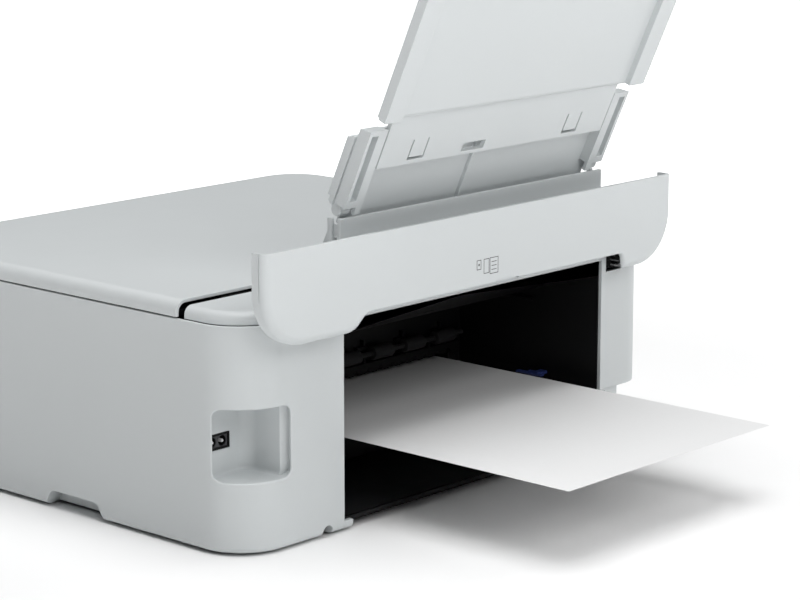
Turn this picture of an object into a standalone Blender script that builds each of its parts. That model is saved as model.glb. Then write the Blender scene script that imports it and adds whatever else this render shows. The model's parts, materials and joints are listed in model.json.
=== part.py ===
"""Compact inkjet printer with scanner, its rear transport unit out and a sheet lying in the open rear bay.

Metres, +Z up. Seen from the front, +X is to the right and +Y points to the rear. The origin is under the
middle of the whole object, where the feet stand. Inside this file a place is given as x, depth and height:
depth is measured forwards from the plane of the two rear towers, height upwards from the base pan's level.
"""

import math

import bmesh
import bpy
from mathutils import Matrix, Vector

# Driving dimensions of the body.
BODY_WIDTH = 0.403
BODY_DEPTH = 0.352
SEAM_HEIGHT = 0.142
TOP_HEIGHT = 0.1535
FOOT_HEIGHT = 0.003
CORNER_RADIUS = 0.035
FAR_RADIUS = 0.025
BOTTOM_RADIUS = 0.004
BOTTOM_DROP = 0.0012
PAN_MARGIN = 0.005
WALL = 0.0028
COVER_WALL = 0.0025
EDGE_RADIUS = 0.008
GAP = 0.0004
RIB = 0.0009
CORNER_STEPS = 8
ROUND_STEPS = 4

# A4 sheet lying in the paper path.
SHEET_WIDTH = 0.210
SHEET_LENGTH = 0.297
SHEET_OUT = 0.1557
SHEET_HEIGHT = 0.0478
SHEET_THICKNESS = 0.0004

# The rear plane is placed so that the origin is midway between the front and the sheet's end.
REAR_Y = (BODY_DEPTH - SHEET_OUT) / 2
SIDE_X = BODY_WIDTH / 2

# Rear bay between the two towers.
BAY_LEFT = -0.1481
BAY_RIGHT = 0.1115
BAY_TOP = 0.136
BAY_DEPTH = 0.131
BAY_FLOOR = 0.0063
LINER = 0.002

# Front opening for the panel, door, tray and cassette.
FRONT_HALF = 0.1435
FRONT_TOP = 0.1400

# Power recess in the near rear corner and cable notch in the far one.
RECESS_SIDE_DEPTH = 0.0246
RECESS_REAR_X = SIDE_X - 0.042
RECESS_LOW = 0.044
RECESS_HIGH = 0.090
RECESS_DEPTH = 0.035
NOTCH_X = -0.1685
NOTCH_DEPTH = 0.036
NOTCH_HIGH = 0.042

# Lid and deck.
LID_REAR = 0.056
DECK_FRONT = 0.0515
LID_GAP = 0.001
LID_AXIS = (0.058, 0.148)

# Rear cover, drawn in its open, upright place.
COVER_BACK = 0.0203
COVER_EDGE = 0.0089
COVER_INSET = 0.0014
COVER_TOP = 0.1915
COVER_LOW = 0.1312
COVER_MIDDLE = 0.1428
COVER_NOTCHES = (-0.1462, 0.1245)
COVER_AXIS = (0.001, 0.137)
HINGE_RADIUS = 0.0036
HINGE_SPANS = ((-0.1695, -0.1535), (0.1290, 0.1450))

# Feeder and its paper support.
FEED_X = -0.0245
FEEDER_WIDTH = 0.262
SHIELD_SILL = 0.1840
SUPPORT_LEAN = math.radians(24.5)
SUPPORT_BASE = (0.005, 0.198)
SUPPORT_AXIS = (0.014, 0.202)
GUIDE_HALF = SHEET_WIDTH / 2 + 0.0005
PINION_RADIUS = 0.0065
PINION_AXIS = (0.048, 0.133)
RACK_DEPTH = (0.0465, 0.0495)
RACK_HEIGHTS = {1: (0.1399, 0.1418), -1: (0.1242, 0.1261)}
FRAME_HALF = 0.1290
FRAME_RAIL = 0.016
KNUCKLE_RADIUS = 0.0042

# Print engine.
ROLLER_AXIS = (0.142, 0.041)
RAIL_AXIS = (0.168, 0.093)
FEED_GEAR_RADIUS = 0.018
MOTOR_PINION_RADIUS = 0.0045
PICKUP_AXIS = (0.108, 0.1105)
TRANSPORT_AXIS = (0.1235, 0.0665)
EXIT_AXIS = (0.222, 0.0415)
MOTOR_X = 0.165
BELT_HEIGHT = 0.076

# Scanner glass and the front's hinge axes, panel and button.
GLASS_X = (-0.168, 0.152)
GLASS_DEPTH = (0.088, 0.308)
PANEL_AXIS = (0.3491, 0.1360)
DOOR_AXIS = (0.3505, 0.0495)
BUTTON = (-0.119, 0.119)

# Colours are linear red, green and blue, then roughness and metallic value.
LIGHT_PLASTIC = ((0.62, 0.65, 0.655), 0.42, 0.0)
DARK_PLASTIC = ((0.012, 0.012, 0.013), 0.45, 0.0)
BLUE_PLASTIC = ((0.02, 0.04, 0.16), 0.4, 0.0)
RUBBER = ((0.03, 0.03, 0.032), 0.85, 0.0)
STEEL = ((0.55, 0.56, 0.58), 0.3, 1.0)
GLASS = ((0.75, 0.8, 0.8), 0.05, 0.0)
BOARD = ((0.02, 0.12, 0.06), 0.5, 0.0)
WHITE_PAPER = ((0.82, 0.82, 0.83), 0.8, 0.0)
WHITE_FOAM = ((0.8, 0.8, 0.8), 0.9, 0.0)


def clear_scene():
    for obj in list(bpy.data.objects):
        bpy.data.objects.remove(obj, do_unlink=True)


def world(x, depth, height):
    return Vector((x, REAR_Y - depth, FOOT_HEIGHT + height))


def leaning(x, along, out):
    """Point on the leaning support: along it from its foot, and out towards the rear."""
    depth = SUPPORT_BASE[0] - along * math.sin(SUPPORT_LEAN) - out * math.cos(SUPPORT_LEAN)
    height = SUPPORT_BASE[1] + along * math.cos(SUPPORT_LEAN) - out * math.sin(SUPPORT_LEAN)
    return world(x, depth, height)


def closed(bm):
    bmesh.ops.recalc_face_normals(bm, faces=bm.faces)
    return bm


def loft(loops, ring=False):
    """Skin through loops of equal length, with end caps, or joined end to start as a ring."""
    bm = bmesh.new()
    rows = [[bm.verts.new(point) for point in loop] for loop in loops]
    pairs = list(zip(rows, rows[1:]))
    if ring:
        pairs.append((rows[-1], rows[0]))
    for low, high in pairs:
        for i in range(len(low)):
            j = (i + 1) % len(low)
            bm.faces.new((low[i], low[j], high[j], high[i]))
    if not ring:
        bm.faces.new(rows[0])
        bm.faces.new(rows[-1])
    return closed(bm)


def prism_z(outline, low, high):
    """Outline of (x, depth) points, raised between two heights."""
    return loft([[world(x, d, h) for x, d in outline] for h in (low, high)])


def prism_x(outline, left, right):
    """Outline of (depth, height) points, extruded along X."""
    return loft([[world(x, d, h) for d, h in outline] for x in (left, right)])


def prism_y(outline, rear, front):
    """Outline of (x, height) points, extruded between two depths."""
    return loft([[world(x, d, h) for x, h in outline] for d in (rear, front)])


def block(x, depth, height):
    """Box from three (low, high) spans."""
    outline = [(x[0], depth[0]), (x[1], depth[0]), (x[1], depth[1]), (x[0], depth[1])]
    return prism_z(outline, height[0], height[1])


def leaning_block(x, along, out):
    """Box on the leaning support from three (low, high) spans."""
    corners = ((x[0], out[0]), (x[1], out[0]), (x[1], out[1]), (x[0], out[1]))
    return loft([[leaning(cx, s, co) for cx, co in corners] for s in along])


def leaning_prism(outline, x):
    """Outline of (along, out) points on the leaning support, extruded between two x values."""
    return loft([[leaning(px, s, out) for s, out in outline] for px in x])


def turned(axis, centre, profile, steps=16):
    """Solid of revolution: profile of (place along the axis, radius) about an axis through centre."""
    direction = {"x": Vector((1, 0, 0)), "y": Vector((0, -1, 0)), "z": Vector((0, 0, 1))}[axis]
    side = Vector((0, 1, 0)) if axis != "y" else Vector((1, 0, 0))
    other = direction.cross(side)
    loops = []
    for place, radius in profile:
        loop = []
        for k in range(steps):
            angle = 2 * math.pi * (k + 0.5) / steps
            spoke = math.cos(angle) * side + math.sin(angle) * other
            loop.append(centre + direction * place + spoke * radius)
        loops.append(loop)
    return loft(loops)


def along_x(depth_height, profile, steps=16):
    """Turned solid about a line parallel to X; the profile's places are x values."""
    return turned("x", world(0, *depth_height), profile, steps)


def arc(centre, radius, start, end, steps):
    """Points of a circular arc, angles in degrees, ends included."""
    points = []
    for k in range(steps + 1):
        angle = math.radians(start + (end - start) * k / steps)
        points.append((centre[0] + radius * math.cos(angle), centre[1] + radius * math.sin(angle)))
    return points


def plan(inset, rear=0.0, front=BODY_DEPTH, square_rear=False, square_front=False):
    """Body outline seen from above, (x, depth), pulled in by an inset; a square side isn't pulled in."""
    x = SIDE_X - inset
    near = rear + (0 if square_rear else inset)
    far = front - (0 if square_front else inset)
    radius = max(CORNER_RADIUS - inset, 0.001)
    rear_radius = 0.0002 if square_rear else radius
    far_radius = 0.0002 if square_rear else max(FAR_RADIUS - inset, 0.001)
    front_radius = 0.0002 if square_front else radius
    points = arc((x - rear_radius, near + rear_radius), rear_radius, -90, 0, CORNER_STEPS)
    points += arc((x - front_radius, far - front_radius), front_radius, 0, 90, CORNER_STEPS)
    points += arc((-x + front_radius, far - front_radius), front_radius, 90, 180, CORNER_STEPS)
    points += arc((-x + far_radius, near + far_radius), far_radius, 180, 270, CORNER_STEPS)
    return points


def plan_loop(inset, height, **sides):
    return [world(x, d, height) for x, d in plan(inset, **sides)]


def rounding(radius, steps=ROUND_STEPS):
    """(inset, drop) pairs of a quarter-round edge, from the side face to the flat."""
    pairs = []
    for k in range(steps + 1):
        angle = math.pi / 2 * k / steps
        pairs.append((radius * (1 - math.cos(angle)), radius * (1 - math.sin(angle))))
    return pairs


def material(name, finish):
    colour, roughness, metallic = finish
    made = bpy.data.materials.new(name)
    made.use_nodes = True
    shader = made.node_tree.nodes["Principled BSDF"]
    shader.inputs["Base Color"].default_value = (*colour, 1.0)
    shader.inputs["Roughness"].default_value = roughness
    shader.inputs["Metallic"].default_value = metallic
    return made


def add_object(name, bm, pivot):
    """Object whose origin is at the pivot, its mesh staying where it was drawn."""
    bmesh.ops.transform(bm, matrix=Matrix.Translation(-pivot), verts=bm.verts)
    mesh = bpy.data.meshes.new(name)
    bm.to_mesh(mesh)
    bm.free()
    obj = bpy.data.objects.new(name, mesh)
    obj.location = pivot
    bpy.context.scene.collection.objects.link(obj)
    return obj


def combine(obj, shapes, operation):
    """Boolean modifiers with hidden helper objects, one for each shape."""
    for index, shape in enumerate(shapes):
        helper = add_object(f"{obj.name}_{operation.lower()}_{index}", shape, Vector((0, 0, 0)))
        helper.hide_render = True
        helper.display_type = "WIRE"
        modifier = obj.modifiers.new(f"{operation.lower()}_{index}", "BOOLEAN")
        modifier.operation = operation
        modifier.solver = "EXACT"
        modifier.object = helper


def piece(name, base, finish, join=(), cut=(), pivot=None):
    """One named sub-part: a base shape, the shapes joined to it and the shapes cut from it."""
    obj = add_object(name, base, pivot or Vector((0, 0, 0)))
    obj.data.materials.append(material(name, finish))
    obj.data.shade_smooth()
    obj.data.set_sharp_from_angle(angle=math.radians(35))
    combine(obj, join, "UNION")
    combine(obj, cut, "DIFFERENCE")
    return obj


def corner_block(side, inner_x, front, inset, low, high):
    """Block that fills a rear corner of the case, its outer corner rounded like the case's."""
    radius = (CORNER_RADIUS if side > 0 else FAR_RADIUS) - inset
    x = SIDE_X - inset
    outline = arc((x - radius, inset + radius), radius, -90, 0, CORNER_STEPS)
    outline = [(side * px, pd) for px, pd in outline]
    outline += [(side * x, front), (inner_x, front), (inner_x, inset)]
    return prism_z(outline, low, high)


def case_shell():
    """Ring-shaped wall of the case, rounded in under its bottom edge."""
    rim = WALL + PAN_MARGIN
    loops = [plan_loop(inset, drop - BOTTOM_DROP) for inset, drop in reversed(rounding(BOTTOM_RADIUS))]
    loops.append(plan_loop(0, SEAM_HEIGHT))
    loops.append(plan_loop(WALL, SEAM_HEIGHT))
    loops.append(plan_loop(WALL, PAN_MARGIN))
    loops.append(plan_loop(rim, 0.002))
    loops.append(plan_loop(rim, -BOTTOM_DROP))
    return loft(loops, ring=True)


def recess_mouth():
    """Rounded opening of the power recess, cut square to the chord across the corner."""
    side = Vector((SIDE_X, RECESS_SIDE_DEPTH))
    rear = Vector((RECESS_REAR_X, 0))
    middle_height = (RECESS_LOW + RECESS_HIGH) / 2
    half = (side - rear).length / 2
    tall = (RECESS_HIGH - RECESS_LOW) / 2
    radius = 0.005
    across = (side - rear).normalized()
    inwards = Vector((-across.y, across.x))
    outline = arc((half - radius, tall - radius), radius, 0, 90, ROUND_STEPS)
    outline += arc((radius - half, tall - radius), radius, 90, 180, ROUND_STEPS)
    outline += arc((radius - half, radius - tall), radius, 180, 270, ROUND_STEPS)
    outline += arc((half - radius, radius - tall), radius, 270, 360, ROUND_STEPS)
    loops = []
    for reach in (-0.020, 0.0062):
        centre = (side + rear) / 2 + inwards * reach
        places = [(centre + across * a, middle_height + b) for a, b in outline]
        loops.append([world(p.x, p.y, h) for p, h in places])
    return loft(loops)


def recess_hollow():
    """Room inside the power recess, with its inner corner cut off at a slant."""
    outline = [
        (SIDE_X - WALL, RECESS_SIDE_DEPTH),
        (SIDE_X - WALL, RECESS_DEPTH),
        (SIDE_X - 0.033, RECESS_DEPTH),
        (SIDE_X - 0.0385, 0.030),
        (RECESS_REAR_X + 0.001, WALL),
        (SIDE_X - 0.030, WALL),
    ]
    return prism_z(outline, RECESS_LOW, RECESS_HIGH)


def grip_cut(side):
    """Finger recess under one side, its ends sloping."""
    outline = [(0.1274, -0.002), (0.134, 0.0094), (0.179, 0.0094), (0.1856, -0.002)]
    inner = side * (SIDE_X - 0.012)
    outer = side * (SIDE_X + 0.005)
    return prism_x(outline, min(inner, outer), max(inner, outer))


def hinge_pocket(span):
    """Outer block and hollow of one pocket for the rear cover's hinge."""
    left, right = span
    solid = block((left - 0.0025, right + 0.0025), (0.001, 0.012), (0.1235, 0.1415))
    hollow = block((left - 0.0005, right + 0.0005), (-0.01, 0.009), (0.1260, 0.1435))
    return solid, hollow


def inlet_span():
    return (SIDE_X - 0.0236, SIDE_X - 0.0032), (0.0602, 0.0708)


def make_case():
    pockets = [hinge_pocket(span) for span in HINGE_SPANS]
    near_block = corner_block(1, SIDE_X - 0.0475, 0.0375, 0.001, RECESS_LOW - 0.002, RECESS_HIGH + 0.002)
    far_block = corner_block(-1, NOTCH_X + 0.002, 0.038, 0.001, 0.001, NOTCH_HIGH + 0.002)
    join = [near_block, far_block] + [solid for solid, _ in pockets]
    inlet_x, inlet_h = inlet_span()
    cut = [
        block((BAY_LEFT, BAY_RIGHT), (-0.01, 0.012), (-0.01, BAY_TOP)),
        block((-FRONT_HALF, FRONT_HALF), (BODY_DEPTH - 0.020, BODY_DEPTH + 0.01), (-0.01, FRONT_TOP)),
        recess_mouth(),
        recess_hollow(),
        block(inlet_x, (RECESS_DEPTH - 0.002, 0.045), inlet_h),
        block((-SIDE_X - 0.01, NOTCH_X), (-0.01, NOTCH_DEPTH), (-0.01, NOTCH_HIGH)),
        block((-0.1895, -0.1765), (0.034, 0.040), (0.012, 0.0235)),
        grip_cut(1),
        grip_cut(-1),
        turned("y", world(SIDE_X - 0.075, 0, 0.0005), [(-0.01, 0.0045), (0.012, 0.0045)]),
    ]
    cut += [hollow for _, hollow in pockets]
    piece("main_case", case_shell(), LIGHT_PLASTIC, join, cut)


def make_base():
    pan = prism_z(plan(WALL + PAN_MARGIN + GAP), GAP, 0.0032)
    notch = block((-SIDE_X, NOTCH_X + 0.0025), (-0.01, 0.0385), (-0.01, 0.01))
    piece("base_pan", pan, DARK_PLASTIC, cut=[notch])
    places = {
        "foot_rear_right": (0.155, 0.050),
        "foot_rear_left": (-0.155, 0.050),
        "foot_front_right": (0.155, 0.310),
        "foot_front_left": (-0.155, 0.310),
    }
    for name, (x, depth) in places.items():
        profile = [(-FOOT_HEIGHT, 0.008), (-0.0022, 0.009), (0.0001, 0.009)]
        piece(name, turned("z", world(x, depth, 0), profile, 20), RUBBER)


def make_liner():
    """Black tub that lines the rear bay: floor, two side walls and the front wall with its slots."""
    sides = (BAY_LEFT - LINER, BAY_RIGHT + LINER)
    depth = (0.0032, BAY_DEPTH + LINER)
    base = block(sides, depth, (0.0036, BAY_TOP - GAP))
    cut = [
        block((BAY_LEFT, BAY_RIGHT), (-0.01, BAY_DEPTH), (BAY_FLOOR, 0.2)),
        block((-0.2, 0.2), (BAY_DEPTH - 0.004, 0.2), (0.093, 0.2)),
        block((-0.2, 0.2), (0.060, 0.2), (0.121, 0.2)),
        block((-0.2, BAY_LEFT), (-0.01, 0.0085), (0.0, 0.006)),
        block((BAY_RIGHT, 0.2), (-0.01, 0.0085), (0.0, 0.006)),
        block((-0.136, 0.087), (BAY_DEPTH - 0.01, 0.2), (0.0455, 0.0510)),
        block((-0.141, 0.092), (BAY_DEPTH - 0.01, 0.2), (0.0068, 0.0285)),
    ]
    piece("bay_liner", base, DARK_PLASTIC, cut=cut)


def comb_outline():
    """Bar with a row of pointed teeth along its lower edge, (x, height)."""
    left, right = -0.140, 0.100
    pitch = 0.012
    count = round((right - left) / pitch)
    points = [(right, 0.060), (left, 0.060)]
    for k in range(count):
        x = left + pitch * k
        points += [(x + 0.001, 0.0560), (x + 0.004, 0.0530), (x + 0.008, 0.0530), (x + 0.011, 0.0560)]
    return points


def make_bay_fittings():
    piece("exit_comb", prism_y(comb_outline(), 0.1240, 0.1306), DARK_PLASTIC)
    profile = [(-0.142, 0.0018)]
    for k in range(7):
        start = -0.132 + 0.033 * k
        profile += [(start, 0.0018), (start, 0.0050), (start + 0.020, 0.0050), (start + 0.020, 0.0018)]
    profile.append((0.102, 0.0018))
    pivot = world(0, *TRANSPORT_AXIS)
    piece("transport_rollers", along_x(TRANSPORT_AXIS, profile, 12), RUBBER, pivot=pivot)
    strip = block((-0.1340, -0.1300), (0.0390, 0.0620), (0.0483, 0.0497))
    arm = block((-0.1474, -0.1330), (0.0470, 0.0530), (0.0465, 0.0487))
    tab = block((-0.1340, -0.1318), (0.0430, 0.0520), (0.0490, 0.0510))
    pivot = world(-0.1462, 0.0500, 0.0476)
    piece("release_lever", strip, BLUE_PLASTIC, join=[arm, tab], pivot=pivot)


def make_deck():
    """Fixed rear part of the top, with the feed slot through it."""
    inset = 0.0025
    radius = 0.006
    top = 0.1505
    sides = {"rear": 0.0, "front": DECK_FRONT, "square_front": True}
    loops = [plan_loop(inset, SEAM_HEIGHT + GAP, **sides)]
    for pull, drop in rounding(radius):
        loops.append(plan_loop(inset + pull, top - drop, **sides))
    cut = [
        block((-0.1475, 0.1105), (0.0200, 0.0475), (0.13, 0.16)),
        block((0.118, 0.185), (0.012, 0.046), (0.13, 0.148)),
        block((-0.185, -0.155), (0.012, 0.046), (0.13, 0.148)),
    ]
    piece("deck_cover", loft(loops), LIGHT_PLASTIC, cut=cut)


def make_feeder():
    half = FEEDER_WIDTH / 2
    shield = block((FEED_X - half, FEED_X + half), (0.0075, 0.0190), (0.1509, 0.1970))
    cuts = [
        block((FEED_X - half + 0.0025, FEED_X + half - 0.0025), (0.0100, 0.03), (SHIELD_SILL, 0.21)),
        block((FEED_X - half - 0.01, FEED_X - half + 0.004), (0.0105, 0.0150), (0.1, 0.3)),
        block((FEED_X + half - 0.004, FEED_X + half + 0.01), (0.0105, 0.0150), (0.1, 0.3)),
    ]
    piece("feeder_shield", shield, LIGHT_PLASTIC, cut=cuts)
    top = [(0.0205, 0.1412), (0.026, 0.127), (0.058, 0.109), (0.112, 0.099), (0.1285, 0.094)]
    under = [(0.1285, 0.092), (0.112, 0.097), (0.058, 0.107), (0.024, 0.126), (0.0185, 0.1412)]
    lug = block((FEED_X - 0.004, FEED_X + 0.004), (0.0503, 0.0530), (0.111, 0.139))
    ramp = prism_x(top + under, -0.1465, 0.1095)
    piece("feeder_hopper", ramp, DARK_PLASTIC, join=[lug])


def make_guides():
    """Edge guides on their racks and the pinion that keeps them centred."""
    outline = [
        (0.0215, 0.188),
        (0.0215, 0.144),
        (0.0280, 0.1285),
        (0.0460, 0.1185),
        (0.0460, 0.172),
        (0.0380, 0.188),
    ]
    for side, name in ((1, "guide_right"), (-1, "guide_left")):
        inner = FEED_X + side * GUIDE_HALF
        outer = inner + side * 0.003
        plate = prism_x(outline, min(inner, outer), max(inner, outer))
        past = FEED_X - side * 0.008
        rack = block((min(past, outer), max(past, outer)), RACK_DEPTH, RACK_HEIGHTS[side])
        lug = block((min(inner, outer), max(inner, outer)), (0.0450, RACK_DEPTH[1]), RACK_HEIGHTS[side])
        piece(name, plate, LIGHT_PLASTIC, join=[rack, lug])
    centre = world(FEED_X, PINION_AXIS[0], PINION_AXIS[1])
    profile = [(-0.0015, PINION_RADIUS), (0.0015, PINION_RADIUS), (0.0015, 0.002), (0.0019, 0.002)]
    piece("guide_pinion", turned("y", centre, profile, 24), DARK_PLASTIC, pivot=centre)
    x = FEED_X
    profile = [(x - 0.100, 0.003), (x - 0.032, 0.003), (x - 0.032, 0.0095), (x - 0.010, 0.0095)]
    profile += [(x - 0.010, 0.003), (x + 0.010, 0.003), (x + 0.010, 0.0095), (x + 0.032, 0.0095)]
    profile += [(x + 0.032, 0.003), (x + 0.100, 0.003)]
    pivot = world(0, *PICKUP_AXIS)
    piece("pickup_roller", along_x(PICKUP_AXIS, profile, 20), RUBBER, pivot=pivot)


def make_scanner():
    pivot = world(0, *LID_AXIS)
    tray = block((-0.190, 0.190), (0.064, 0.338), (0.1235, 0.1415))
    hollow = block((-0.1875, 0.1875), (0.0665, 0.3355), (0.1255, 0.16))
    piece("scanner_tray", tray, DARK_PLASTIC, cut=[hollow], pivot=pivot)
    sides = {"rear": 0.0602, "front": 0.3495, "square_rear": True}
    frame = prism_z(plan(0.006, **sides), 0.1424, 0.1460)
    opening = block(GLASS_X, GLASS_DEPTH, (0.1438, 0.16))
    window = block((-0.163, 0.147), (0.093, 0.303), (0.13, 0.15))
    piece("scanner_frame", frame, DARK_PLASTIC, cut=[opening, window], pivot=pivot)
    glass_x = (GLASS_X[0] + GAP, GLASS_X[1] - GAP)
    glass_depth = (GLASS_DEPTH[0] + GAP, GLASS_DEPTH[1] - GAP)
    glass = block(glass_x, glass_depth, (0.1438 + GAP, 0.1460))
    piece("scanner_glass", glass, GLASS, pivot=pivot)
    rail = along_x((0.200, 0.1290), [(-0.1872, 0.0025), (0.1872, 0.0025)], 12)
    piece("scan_rail", rail, STEEL, pivot=pivot)
    bar = block((-0.165, -0.143), (0.088, 0.308), (0.1320, 0.1398))
    slot = block((-0.158, -0.150), (0.095, 0.301), (0.1370, 0.15))
    piece("scan_carriage", bar, DARK_PLASTIC, cut=[slot])
    for side, name in ((1, "lid_hinge_right"), (-1, "lid_hinge_left")):
        x = side * 0.1505
        barrel = along_x(LID_AXIS, [(x - 0.012, 0.0022), (x + 0.012, 0.0022)], 12)
        foot = block((x - 0.010, x + 0.010), (0.0590, 0.0650), (0.1464, 0.1485))
        neck = block((x - 0.010, x + 0.010), (0.0575, 0.0600), (0.1466, 0.1483))
        piece(name, barrel, DARK_PLASTIC, join=[foot, neck], pivot=pivot)


def make_lid():
    pivot = world(0, *LID_AXIS)
    bottom = SEAM_HEIGHT + LID_GAP
    outer = {"rear": LID_REAR, "square_rear": True}
    loops = [plan_loop(0, bottom, **outer)]
    for pull, drop in rounding(EDGE_RADIUS):
        loops.append(plan_loop(pull, TOP_HEIGHT - drop, **outer))
    inner = {"rear": LID_REAR - 0.01, "square_rear": True}
    hollow = [plan_loop(COVER_WALL, bottom - 0.01, **inner)]
    for pull, drop in rounding(EDGE_RADIUS - COVER_WALL):
        hollow.append(plan_loop(COVER_WALL + pull, TOP_HEIGHT - COVER_WALL - drop, **inner))
    piece("scanner_lid", loft(loops), LIGHT_PLASTIC, cut=[loft(hollow)], pivot=pivot)
    mat = block((-0.172, 0.156), (0.084, 0.312), (0.1466, 0.1505))
    piece("lid_mat", mat, WHITE_FOAM, pivot=pivot)


def cover_outline(inset):
    """Rear cover seen from the rear, (x, height): low rounded ends and a raised middle edge."""
    x = SIDE_X - COVER_INSET - inset
    low = COVER_LOW + inset
    middle = COVER_MIDDLE + inset
    radius = CORNER_RADIUS - inset
    far = COVER_NOTCHES[0] - inset
    near = COVER_NOTCHES[1] + inset
    points = [(x, COVER_TOP)]
    points += arc((x - radius, low + radius), radius, 0, -90, CORNER_STEPS)
    points += [(near, low), (near - 0.005, low + 0.0014), (near - 0.0085, low + 0.005)]
    points += [(near - 0.0140, middle - 0.0012), (near - 0.0175, middle)]
    points += [(far + 0.0045, middle), (far + 0.0012, middle - 0.0015), (far, middle - 0.0045)]
    points += [(far - 0.0008, low + 0.002), (far - 0.004, low)]
    points += arc((-x + radius, low + radius), radius, -90, -180, CORNER_STEPS)
    points += [(-x, COVER_TOP)]
    return points


def cover_loop(inset, back):
    return [world(x, -back, h) for x, h in cover_outline(inset)]


def hinge_room():
    """Opening in the rear cover's lower wall beside its far notch, so that the hinge stays reachable."""
    rear = 0.0030 - COVER_BACK
    outline = [(-0.1410, rear), (-0.1500, rear), (-0.1610, -COVER_EDGE), (-0.1610, 0.01), (-0.1410, 0.01)]
    return prism_z(outline, 0.12, 0.1460)


def make_rear_cover():
    pivot = world(0, *COVER_AXIS)
    radius = 0.005
    loops = [cover_loop(0, COVER_EDGE)]
    for pull, drop in rounding(radius, 3):
        loops.append(cover_loop(pull, COVER_BACK - drop))
    outline = cover_outline(COVER_WALL)
    outline = [(px, ph + (0.01 if ph > COVER_TOP - 0.0001 else 0)) for px, ph in outline]
    hollow = prism_y(outline, -(COVER_BACK - COVER_WALL), 0.01)
    piece("rear_cover", loft(loops), LIGHT_PLASTIC, cut=[hollow, hinge_room()], pivot=pivot)
    for span, name in zip(HINGE_SPANS, ("cover_hinge_left", "cover_hinge_right")):
        left, right = span
        profile = [(left, HINGE_RADIUS)]
        for k in range(4):
            start = left + 0.002 + 0.0032 * k
            profile += [(start, HINGE_RADIUS), (start, 0.0030), (start + 0.0012, 0.0030)]
            profile += [(start + 0.0012, HINGE_RADIUS)]
        profile.append((right, HINGE_RADIUS))
        reach = COVER_BACK - COVER_WALL - GAP
        arm = block((left + 0.003, right - 0.003), (-reach, 0.0005), (0.1346, 0.1394))
        web = block((left + 0.001, right - 0.001), (-0.0008, 0.0040), (0.1285, 0.1370))
        ribs = []
        for x in (left + 0.0010, left + 0.0046, left + 0.0082):
            slant = [(x + 0.0050, 0.1288), (x + 0.0050 + RIB, 0.1288), (x + RIB, 0.1338), (x, 0.1338)]
            ribs.append(prism_y(slant, -0.0026, 0.001))
        piece(name, along_x(COVER_AXIS, profile, 16), DARK_PLASTIC, join=[arm, web] + ribs, pivot=pivot)


def make_support_frame(pivot):
    """Lowest stage of the paper support: two panels, side rails of two slabs each, and knuckles."""
    front_slab = [(0.0032, -0.0175), (0.0482, -0.0175), (0.0502, -0.0155), (0.0502, -0.0135)]
    front_slab += [(0.0012, -0.0135), (0.0012, -0.0155)]
    web = [(0.0045, -0.0140), (0.0495, -0.0140), (0.0495, -0.0115), (0.0045, -0.0115)]
    rear_slab = [(0.0040, -0.0120), (0.0572, -0.0120), (0.0597, -0.0030), (0.0040, -0.0030)]
    panel = leaning_block((FEED_X - FRAME_HALF, FEED_X + FRAME_HALF), (0.0060, 0.0480), (-0.0195, -0.0165))
    join = []
    cut = []
    for side in (1, -1):
        outer = FEED_X + side * FRAME_HALF
        inner = outer - side * FRAME_RAIL
        join.append(leaning_prism(front_slab, sorted((outer, inner))))
        join.append(leaning_prism(web, sorted((outer - side * 0.0015, inner))))
        join.append(leaning_prism(rear_slab, sorted((outer, inner))))
        groove = sorted((outer - side * 0.0028, outer - side * 0.0085))
        cut.append(leaning_block(groove, (0.0090, 0.0560), (-0.0080, 0.01)))
        strip = sorted((inner + side * 0.0055, inner))
        join.append(leaning_block(strip, (-0.0016, 0.0050), (-0.0055, -0.0030)))
        knuckle = sorted((outer - side * 0.001, outer - side * 0.0095))
        profile = [(knuckle[0], KNUCKLE_RADIUS), (knuckle[1], KNUCKLE_RADIUS)]
        join.append(along_x(SUPPORT_AXIS, profile, 16))
        join.append(leaning_block(knuckle, (0.0, 0.0060), (-0.0145, -0.0075)))
    inside = FRAME_HALF - FRAME_RAIL / 2
    low = -0.0120
    join.append(leaning_block((FEED_X - inside, FEED_X + inside), (low, 0.0560), (-0.0125, -0.0105)))
    join.append(leaning_block((FEED_X - inside, FEED_X + inside), (0.0440, 0.0480), (-0.0175, -0.0105)))
    join.append(leaning_block((FEED_X + 0.0105, FEED_X + 0.0125), (low + 0.001, 0.0540), (-0.0110, -0.0080)))
    piece("support_frame", panel, LIGHT_PLASTIC, join, cut, pivot)


def make_support_mid(pivot):
    """Middle stage: a flat plate with two snap tongues and a finger window."""
    half = 0.1120
    plate = leaning_block((FEED_X - half, FEED_X + half), (0.0310, 0.1340), (-0.0062, -0.0028))
    cut = [leaning_block((FEED_X + 0.0115, FEED_X + 0.0335), (0.0335, 0.0397), (-0.02, 0.02))]
    for centre in (FEED_X + 0.0775, FEED_X - 0.0760):
        for leg in (centre - 0.0075, centre + 0.0067):
            cut.append(leaning_block((leg, leg + 0.0012), (0.0345, 0.0490), (-0.02, 0.02)))
        cut.append(leaning_block((centre - 0.0075, centre + 0.0079), (0.0340, 0.0360), (-0.02, 0.02)))
    piece("support_mid", plate, LIGHT_PLASTIC, cut=cut, pivot=pivot)


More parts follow.
